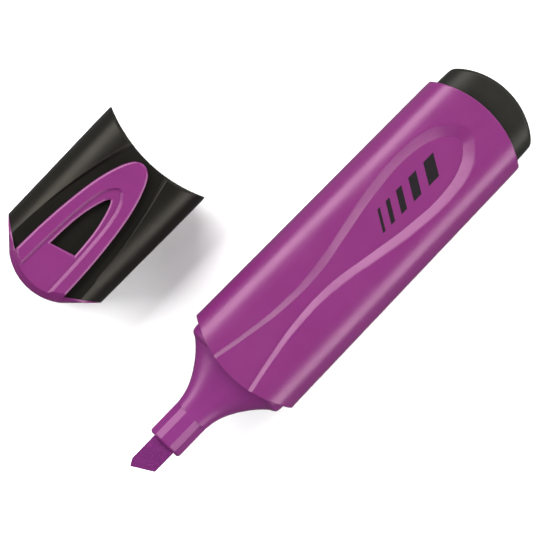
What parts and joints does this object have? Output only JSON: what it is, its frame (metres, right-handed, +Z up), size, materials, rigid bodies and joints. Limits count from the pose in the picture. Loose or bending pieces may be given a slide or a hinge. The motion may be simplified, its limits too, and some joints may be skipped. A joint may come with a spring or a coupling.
{
  "type": "highlighter",
  "caption": "Flat purple highlighter with a chisel nib, a moulded panel on its barrel, and its black cap with a purple clip lying beside it.",
  "frame": {"origin": "on the table, under the middle of the box that holds the pen and the cap beside it", "axes": "+X along the pen from nib to end plug, +Y from the pen to the cap, +Z up out of the broad face"},
  "size_m": [0.1084, 0.0694, 0.0177],
  "materials": {
    "purple_plastic": "satin moulded polypropylene",
    "black_plastic": "satin moulded polypropylene",
    "matt_black_plastic": "fine spark-eroded texture",
    "sleeve_plastic": "smooth polyethylene",
    "inked_felt": "pressed polyester felt soaked with purple ink",
    "inked_fibre": "bonded polyester fibre soaked with purple ink",
    "film": "clear film wrap"
  },
  "bodies": {
    "pen": {"barrel": "purple_plastic", "front_section": "purple_plastic", "chisel_nib": "inked_felt", "ink_reservoir": "inked_fibre", "reservoir_film": "film", "end_plug": "matt_black_plastic"},
    "cap": {"cap_shell": "black_plastic", "cap_inner_sleeve": "sleeve_plastic", "cap_crown": "purple_plastic"},
    "clip": {"cap_clip": "purple_plastic"}
  },
  "joints": [
    {"name": "cap_pull", "type": "slide", "parent": "pen", "child": "cap", "axis": [-1, 0, 0], "range_m": [0, 0.052]},
    {"name": "clip_flex", "type": "hinge", "parent": "cap", "child": "clip", "pos_m": [-0.03793, 0.02123, 0.017], "axis": [0, -1, 0], "range_deg": [0, 4.5], "stiffness_Nm_per_rad": 0.6}
  ]
}
